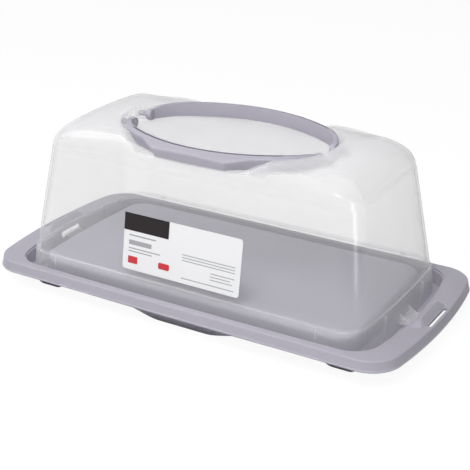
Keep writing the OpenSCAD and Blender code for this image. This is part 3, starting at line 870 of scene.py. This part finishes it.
def buildDome():
    rings = []

    def wallRing(hl, hw, r, row, z):
        inward, less, up = row
        rings.append(level(domeQuarter(hl - inward, hw - inward, r - less), z + up))

    for row in footEdge:
        wallRing(baseHl, baseHw, d["cornerR"], row, d["baseZ"])
    for row in bandEdge:
        wallRing(bandTopHl, bandTopHw, d["cornerR"], row, bandTopZ)
    wallRing(wallFootHl, wallFootHw, d["cornerR"] - d["bandStep"], bandFillet, bandTopZ)
    for z in steps(bandTopZ + 0.3, creaseZ, 8):
        share = (z - bandTopZ) / (creaseZ - bandTopZ)
        hl, hw = mix(wallFootHl, creaseHl, share), mix(wallFootHw, creaseHw, share)
        r = mix(d["cornerR"] - d["bandStep"], d["cornerR"] - d["creaseLess"], share)
        rings.append(level(domeQuarter(hl, hw, r), z))
    rings += [shoulderRing(t) for t in steps(0.0, 1, 22)[1:]]
    off, draft = d["pocketOffset"], d["pocketDraft"]
    out, inset, drop = pocketBrow
    pocketEdge = pocketRing(off + out, inset, drop, 0)
    rings += [between(rimRing, pocketEdge, t) for t in (0.25, 0.5, 0.75, 1)]
    rings += [pocketRing(off + out, inset, drop, 0) for out, inset, drop in pocketLip]
    share, inset, drop = pocketHalf
    rings.append(pocketRing(off - draft * share, inset, drop, 0))
    rings += [pocketRing(off - draft + out, inset, None, lift) for out, inset, lift in pocketFoot]
    thing = loft("domeShell", [mirrored(r) for r in rings], capLast=True)
    applied(thing, "WELD", merge_threshold=mergeGap)
    applied(
        thing, "SOLIDIFY", thickness=d["wall"] * unit, offset=-1, use_even_offset=True, use_rim=True
    )
    return thing


domeBody = buildDome()
print("dome shell:", len(domeBody.data.polygons), "faces")

pinSize = {
    "spacing": 27,
    "z": 147,
    "pinR": 2.5,
    "pinLength": 6,
    "boreR": 2.56,
    "boreFrom": -1.5,
    "boreDepth": 6.8,
    "bossR": 5.2,
    "bossFace": 96.72,
    "bossLength": 8.6,
    "armOut": 93.52,
    "armEndR": 5,
    "armEndThick": 4.8,
}
ribSize = {
    "width": 3.2,
    "depth": 1,
    "endMore": 0.6,
    "root": 1.2,
    "sideX": 129,
    "endY": 38,
    "low": 13.3,
    "high": 35,
    "soft": 0.3,
}
tongueSize = {
    "width": 24,
    "thick": 2.4,
    "z": 19.9,
    "gap": 0.4,
    "root": 3,
    "soft": 0.5,
    "rib": 1.6,
    "ribHigh": 7,
    "ribIn": 3,
    "ribSink": 0.4,
    "ribSoft": 0.2,
}


def addBosses(thing):
    p = pinSize
    r, reach = p["bossR"], p["bossLength"]
    boss = [(r - 0.6, 0), (r - 0.2, 0.15), (r, 0.6), (r, reach - 0.8), (r - 0.8, reach)]
    bore = [(p["boreR"], p["boreFrom"]), (p["boreR"], p["boreDepth"])]
    for name, profile, operation in (("boss", boss, "UNION"), ("bore", bore, "DIFFERENCE")):
        for sign in (-1, 1):
            for y in (-p["spacing"] / 2, p["spacing"] / 2):
                place = (sign * p["bossFace"], y, p["z"])
                combined(thing, lathe(name, profile, place, (sign, 0, 0)), operation)


def addRib(thing, depth, place):
    s = ribSize
    half, root = s["width"] / 2, -s["root"]
    outline = [(-half, root), (half, root), (half, depth), (-half, depth)]
    rib = prism("rib", outline, s["high"] - s["low"], place)
    combined(thing, rounded(rib, s["soft"], 2), "UNION")


def addRibs(thing):
    s = ribSize
    atRim = (traySize["rim"] - d["baseZ"]) * tanOf(d["bandDraft"])
    for sign in (-1, 1):
        for x in (-s["sideX"], s["sideX"]):
            y = baseHw - atRim
            addRib(thing, s["depth"], lambda u, v, w: (x + u, sign * (y + v), s["low"] + w))
        for y in (-s["endY"], s["endY"]):
            face = baseHl - d["endBow"] * (y / baseHw) ** 2 - atRim
            addRib(
                thing,
                s["depth"] + s["endMore"],
                lambda u, v, w: (sign * (face + v), y + u, s["low"] + w),
            )


def addTongues(thing):
    s = tongueSize
    tip = traySize["channelHl"] - s["gap"]
    root = baseHl - s["root"]
    half, webTip = s["width"] / 2, tip - s["ribIn"]
    low, high = s["z"] - s["ribSink"], s["z"] + s["ribHigh"]
    plate = [(root, -half), (tip, -half), (tip, half), (root, half)]
    web = [(root, low), (webTip, low), (webTip, s["z"]), (root, high)]
    for sign in (-1, 1):
        tongue = prism(
            "tongue", plate, s["thick"], lambda u, v, w: (sign * u, v, s["z"] - s["thick"] + w)
        )
        combined(thing, rounded(tongue, s["soft"]), "UNION")
        for y in (-half + s["ribIn"], half - s["ribIn"]):
            rib = prism("rib", web, s["rib"], lambda u, v, w: (sign * u, y - s["rib"] / 2 + w, v))
            combined(thing, rounded(rib, s["ribSoft"], 2), "UNION")


def alongCrease(edge):
    return all(abs(v.co.z - creaseZ * unit) < mergeGap for v in edge.verts)


addBosses(domeBody)
addRibs(domeBody)
addTongues(domeBody)
shade(domeBody, sharpFrom["dome"], alongCrease)
dress(domeBody, domePlastic)
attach(domeBody, "dome")
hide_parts("dome")
print("dome:", len(domeBody.data.polygons), "faces")

# Label: a white sheet on the front wall, with plain blocks of colour
labelSize = {
    "left": -59.5,
    "right": 55.9,
    "low": 41.6,
    "high": 90.6,
    "corner": 2.5,
    "lift": 0.12,
    "thick": 0.12,
    "inkLift": 0.05,
    "inkThick": 0.05,
    "row": 1.5,
}
labelMarks = [  # left, low, right, high, corner, colour
    (-59.5, 75.6, -14.5, 90.6, 0.6, "dark"),
    (-54.0, 47.4, -44.5, 53.6, 0.3, "red"),
    (-23.2, 48.6, -12.2, 54.1, 1.4, "red"),
    (-54.0, 71.2, -27.0, 72.4, 0.3, "rule"),
    (-54.0, 63.6, -31.0, 67.6, 0.5, "rule"),
    (-54.0, 60.0, -22.0, 61.0, 0.3, "rule"),
    (-54.0, 57.4, -30.0, 58.4, 0.3, "rule"),
    (0.0, 65.6, 51.0, 66.4, 0.3, "rule"),
    (0.0, 63.2, 51.0, 64.0, 0.3, "rule"),
    (0.0, 60.8, 51.0, 61.6, 0.3, "rule"),
    (28.0, 55.6, 51.0, 56.4, 0.3, "rule"),
    (28.0, 53.0, 47.0, 53.8, 0.3, "rule"),
    (28.0, 50.4, 49.0, 51.2, 0.3, "rule"),
    (0.0, 45.6, 51.0, 46.4, 0.3, "rule"),
]
labelInks = {
    "paper": paint("labelPaper", (0.8, 0.8, 0.815), 0.4),
    "dark": paint("labelDark", (0.016, 0.012, 0.014), 0.4, 0.25),
    "red": paint("labelRed", (0.55, 0.03, 0.04), 0.35),
    "rule": paint("labelRule", (0.36, 0.36, 0.38), 0.4),
}


def frontWall(z):  # how far the front of the dome stands out at this height
    return mix(wallFootHw, creaseHw, (z - bandTopZ) / (creaseZ - bandTopZ))


def patch(name, left, low, right, high, corner, lift, thick, material):
    heights = [low + corner * (1 - cosOf(a)) for a in steps(0, 90, 5)]
    rowCount = max(2, int((high - low) / labelSize["row"]))
    heights += steps(low + corner, high - corner, rowCount)[1:-1]
    heights += [high - corner * (1 - sinOf(a)) for a in steps(0, 90, 5)]
    rows = []
    for z in heights:
        under = max(0, low + corner - z, z - high + corner)
        cut = corner - math.sqrt(max(0, corner**2 - under**2))
        rows.append([(x, -frontWall(z) - lift, z) for x in steps(left + cut, right - cut, 6)])
    n = len(rows[0])
    faces = []
    for i in range(len(rows) - 1):
        a, b = i * n, (i + 1) * n
        faces += [(a + j, a + j + 1, b + j + 1, b + j) for j in range(n - 1)]
    thing = newObject(name, [p for row in rows for p in row], faces)
    applied(thing, "SOLIDIFY", thickness=thick * unit, offset=-1)
    dress(thing, material)
    return thing


def buildLabel():
    s = labelSize
    sheet = patch(
        "label", s["left"], s["low"], s["right"], s["high"],
        s["corner"], s["lift"], s["thick"], labelInks["paper"],
    )
    order = list(labelInks)
    for ink in order[1:]:
        sheet.data.materials.append(labelInks[ink])
    bm = bmesh.new()
    bm.from_mesh(sheet.data)
    for left, low, right, high, corner, ink in labelMarks:
        mark = patch(
            "labelMark", left, low, right, high, corner,
            s["lift"] + s["inkLift"], s["inkThick"], labelInks[ink],
        )
        before = len(bm.faces)
        bm.from_mesh(mark.data)
        bm.faces.ensure_lookup_table()
        for face in bm.faces[before:]:
            face.material_index = order.index(ink)
        bpy.data.objects.remove(mark)
    bm.to_mesh(sheet.data)
    bm.free()
    return sheet


label = buildLabel()
shade(label, sharpFrom["label"])
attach(label, "dome")
print("label made")

# Handles: a section carried round the oval from one arm to the other
handleSize = {
    "z": 142,
    "top": 154.5,
    "topWidth": 6.6,
    "footWidth": 3.8,
    "topSlope": 0.42,
    "undercut": 2.8,
    "gripHalf": 34,
    "swell": 1.8,
    "bulge": 1,
    "taper": 18,
    "taperIn": 10,
    "groove": 4,
    "grooveWall": 1.2,
    "grooveWidth": 1.7,
    "grooveReach": 60,
    "grooveFade": 5,
    "grooveEnd": 0.3,
    "armSlope": 12,
    "armDrop": 0.9,
    "armWidth": 4.9,
    "armGroove": 0.2,
    "armLean": 1.2,  # the foot is at least so much narrower than the top
    "endLean": 0.6,  # the same at the end of the arm
    "armRise": 0.5,
    "armEndDrop": 0.5,
    "brow": 0.15,  # the top outside the groove lies so much lower
    "browFlat": 1.2,
    "hollow": 0.6,  # how far the groove widens into its outer wall
    "hollowIn": 0.42,
    "sideShare": 0.9,
}


def handleSection(w, foot, z0, z1, groove):  # as (outward from the oval, height)
    h = handleSize
    g, far = h["grooveWall"], h["grooveWall"] + h["grooveWidth"]
    depth = groove / h["groove"]
    nearWall, farWall = g - h["hollowIn"] * depth, far + h["hollow"] * depth
    brow = z1 - h["brow"]
    edge = brow - h["topSlope"] * max(0, w - far - h["browFlat"])
    side = mix(foot, w, h["sideShare"])
    inside = [
        (0.4, z0), (0.12, z0 + 0.12), (0, z0 + 0.5),
        (0, z1 - 0.5), (0.08, z1 - 0.2), (0.3, z1 - 0.03), (0.5, z1),
    ]
    grooveWalls = [
        (g - 0.3, z1), (g - 0.08, z1 - 0.06 * depth), (g, z1 - 0.25 * depth),
        (nearWall, z1 - 0.9 * depth), (nearWall, z1 - groove),
        (farWall, z1 - groove), (farWall, z1 - 0.9 * depth),
        (far, brow - 0.3 * depth), (far + 0.1, brow - 0.1 * depth), (far + 0.35, brow),
    ]
    outside = [
        (mix(far + 0.5, w - 1.2, 0.5), mix(brow, edge, 0.5)), (w - 1.2, edge),
        (w - 0.7, edge - 0.3), (w - 0.3, edge - 0.75), (w - 0.08, edge - 1.3), (w, edge - 1.9),
        (side, edge - 3.4), (foot + 0.4, z0 + 0.9), (foot + 0.3, z0 + 0.4),
        (foot + 0.05, z0 + 0.1), (foot - 0.4, z0),
    ]
    return inside + grooveWalls + outside


def handleStations():  # (part of the oval, angle, section) from the middle of the grip to a pin
    h, p = handleSize, pinSize
    endR, foot = ovalSize["endR"], h["footWidth"]
    gripY = ovalSideY + ovalSize["halfWidth"] + h["topWidth"] + h["swell"]
    aGrip = math.degrees(math.atan2(h["gripHalf"], gripY))
    aTaper = math.degrees(math.atan2(h["gripHalf"] + h["taper"], gripY - h["taperIn"]))
    aPivot = 90 - math.degrees(math.asin(p["spacing"] / 2 / endR))
    aSlope = 90 - math.degrees(math.asin((p["spacing"] / 2 + h["armSlope"]) / endR))
    armTop = h["top"] - h["armDrop"]
    zEnd = p["z"] + p["armEndR"] - h["armEndDrop"]
    stations = []

    def add(part, a, w, footWidth, top=h["top"], groove=h["groove"], low=h["z"]):
        stations.append((part, a, handleSection(w, footWidth, low, top, groove)))

    def gripWidth(a):
        return gripY / cosOf(a) - ovalSideR + h["bulge"] * (1 - (a / aGrip) ** 2)

    for a in steps(0, aGrip, 10):
        add("side", a, gripWidth(a), gripWidth(a) - h["undercut"])
    for t in steps(0, 1, 12)[1:]:
        w = mix(gripWidth(aGrip), h["topWidth"], t)
        add("side", mix(aGrip, aTaper, t), w, mix(w - h["undercut"], foot, 1 - (1 - t) ** 2))
    for a in steps(aTaper, ovalJoin, 8)[1:]:
        add("side", a, h["topWidth"], foot)
    for t in steps(0, 1, 22)[1:]:
        a = mix(ovalJoin, aSlope, t)
        x = ovalEndX + endR * sinOf(a)
        left = smooth((h["grooveReach"] + h["grooveFade"] - x) / h["grooveFade"])
        w = mix(h["topWidth"], h["armWidth"], smooth(t))
        add(
            "end", a, w, min(foot, w - h["armLean"]),
            mix(h["top"], armTop, smooth(t)), mix(h["grooveEnd"], h["groove"], left),
        )
    for t in steps(0, 1, 8)[1:]:
        w = mix(h["armWidth"], foot + h["endLean"], smooth(t))
        add(
            "end", mix(aSlope, aPivot, t), w, min(foot, w - h["endLean"]),
            mix(armTop, zEnd, smooth(t)), h["armGroove"], mix(h["z"], h["z"] + h["armRise"], t),
        )
    return stations


def handleRing(station, side):
    part, a, section = station
    cx, cy, r = (0, ovalSideY, ovalSideR) if part == "side" else (ovalEndX, 0, ovalSize["endR"])
    return [(side * (cx + (r + u) * sinOf(a)), cy - (r + u) * cosOf(a), z) for u, z in section]


def buildHandle(name):
    p = pinSize
    stations = handleStations()
    rings = [handleRing(e, -1) for e in stations[:0:-1]] + [handleRing(e, 1) for e in stations]
    body = loft(name, rings, True, True)
    r, inner = p["armEndR"], -p["armEndThick"]
    reach = p["bossFace"] - p["armOut"] + p["pinLength"]
    armEnd = [(r - 0.7, inner), (r - 0.2, inner + 0.2), (r, inner + 0.7)]
    armEnd += [(r, -0.7), (r - 0.2, -0.2), (r - 0.7, 0)]
    pin = [(p["pinR"], -1), (p["pinR"], reach - 0.4), (p["pinR"] - 0.4, reach)]
    parts = []
    for sign in (-1, 1):
        place = (sign * p["armOut"], -p["spacing"] / 2, p["z"])
        parts.append(lathe("armEnd", armEnd, place, (sign, 0, 0), 64))
        parts.append(lathe("pin", pin, place, (sign, 0, 0), 48))
    return joined(body, parts)


for name, body, turn in (
    ("frontHandle", "front_handle", 0),
    ("rearHandle", "rear_handle", math.pi),
):
    handle = buildHandle(name)
    handle.data.transform(Matrix.Rotation(turn, 4, "Z"))
    shade(handle, sharpFrom["handle"])
    dress(handle, handlePlastic)
    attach(handle, body)
    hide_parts(body)
print("handles made")

# Floor, lights and camera
stageLook = {
    "floorHalf": 6.0,
    "floorColour": (0.9, 0.9, 0.9),
    "floorGlow": 0.9,  # share of the floor that is plain white to the camera
    "floorWhite": 1.04,
    "skyColour": (0.8, 0.8, 0.8),
    "skyHigh": 0.12,  # strength overhead and round the horizon
    "skyHorizon": 0.18,
    "skyFrom": 0.1,
    "skyTo": 0.8,
}
lamps = {  # power, azimuth, elevation, distance, width, height, middle of the aim
    "key": (21.5, 20, 52, 1.6, 1.0, 0.8, (0, 0, 0.07)),
    "left": (8.7, -70, 45, 1.6, 1.0, 0.8, (0, 0, 0.07)),
    "strip": (0.45, 76, 16, 0.3, 0.09, 0.26, (0.16, -0.075, 0.08)),  # line on the near corner
}
cameraView = {
    "azimuth": 30.87,
    "elevation": 23.83,
    "distance": 1.02062,
    "lens": 88.74,
    "sensor": 36,
    "clip": 0.01,
    "target": (0.00349, 0.00209, 0.05465),
}


def makeFloor():
    half = stageLook["floorHalf"] / unit
    corners = [(-half, -half, 0), (half, -half, 0), (half, half, 0), (-half, half, 0)]
    floor = newObject("floor", corners, [(0, 1, 2, 3)])
    material, tree = newMaterial("floorWhite")
    dull = addNode(tree, "BsdfDiffuse", {"Color": (*stageLook["floorColour"], 1)})
    glow = addNode(tree, "Emission", {"Strength": stageLook["floorWhite"]})
    share = addNode(tree, "Math", {1: stageLook["floorGlow"]}, operation="MULTIPLY")
    tree.links.new(addNode(tree, "LightPath").outputs["Is Camera Ray"], share.inputs[0])
    finishMaterial(tree, mixShader(tree, share.outputs[0], dull.outputs[0], glow.outputs[0]))
    floor.data.materials.append(material)


def makeWorld():
    world = bpy.data.worlds.new("world")
    bpy.context.scene.world = world
    world.use_nodes = True
    tree = world.node_tree
    tree.nodes.clear()
    link = tree.links.new
    seen = addNode(tree, "Background", {"Color": (1, 1, 1, 1)})
    lit = addNode(tree, "Background", {"Color": (*stageLook["skyColour"], 1)})
    direction = addNode(tree, "SeparateXYZ")
    rise = addNode(
        tree,
        "MapRange",
        {
            "From Min": stageLook["skyFrom"],
            "From Max": stageLook["skyTo"],
            "To Min": stageLook["skyHorizon"],
            "To Max": stageLook["skyHigh"],
        },
    )
    link(addNode(tree, "TexCoord").outputs["Generated"], direction.inputs[0])
    link(direction.outputs["Z"], rise.inputs["Value"])
    link(rise.outputs["Result"], lit.inputs["Strength"])
    path = addNode(tree, "LightPath")
    anySeen = path.outputs["Is Camera Ray"]
    for ray in ("Is Transmission Ray", "Is Glossy Ray"):  # these see plain white as well
        either = addNode(tree, "Math", operation="MAXIMUM")
        link(anySeen, either.inputs[0])
        link(path.outputs[ray], either.inputs[1])
        anySeen = either.outputs[0]
    sky = mixShader(tree, anySeen, lit.outputs[0], seen.outputs[0])
    link(sky, addNode(tree, "OutputWorld").inputs["Surface"])


def around(azimuth, elevation, distance, target):  # a place round the target that looks at it
    a, e = math.radians(azimuth), math.radians(elevation)
    back = Vector((math.sin(a) * math.cos(e), -math.cos(a) * math.cos(e), math.sin(e)))
    place = Vector(target) + back * distance
    return Matrix.Translation(place) @ back.to_track_quat("Z", "Y").to_matrix().to_4x4()


def makeLamps():
    for name, (power, azimuth, elevation, distance, wide, high, target) in lamps.items():
        light = bpy.data.lights.new(name, "AREA")
        light.shape = "RECTANGLE"
        light.size, light.size_y = wide, high
        light.energy = power
        lamp = bpy.data.objects.new(name, light)
        bpy.context.scene.collection.objects.link(lamp)
        lamp.matrix_world = around(azimuth, elevation, distance, target)
        lamp.visible_diffuse = name != "strip"  # the strip only makes a highlight


def makeCamera():
    v = cameraView
    camera = bpy.data.objects.new("camera", bpy.data.cameras.new("camera"))
    bpy.context.scene.collection.objects.link(camera)
    camera.data.lens = v["lens"]
    camera.data.sensor_width = v["sensor"]
    camera.data.clip_start = v["clip"]
    camera.matrix_world = around(v["azimuth"], v["elevation"], v["distance"], v["target"])
    bpy.context.scene.camera = camera
    bpy.context.scene.view_settings.view_transform = "Standard"


makeFloor()
makeWorld()
makeLamps()
makeCamera()
print("stage ready")
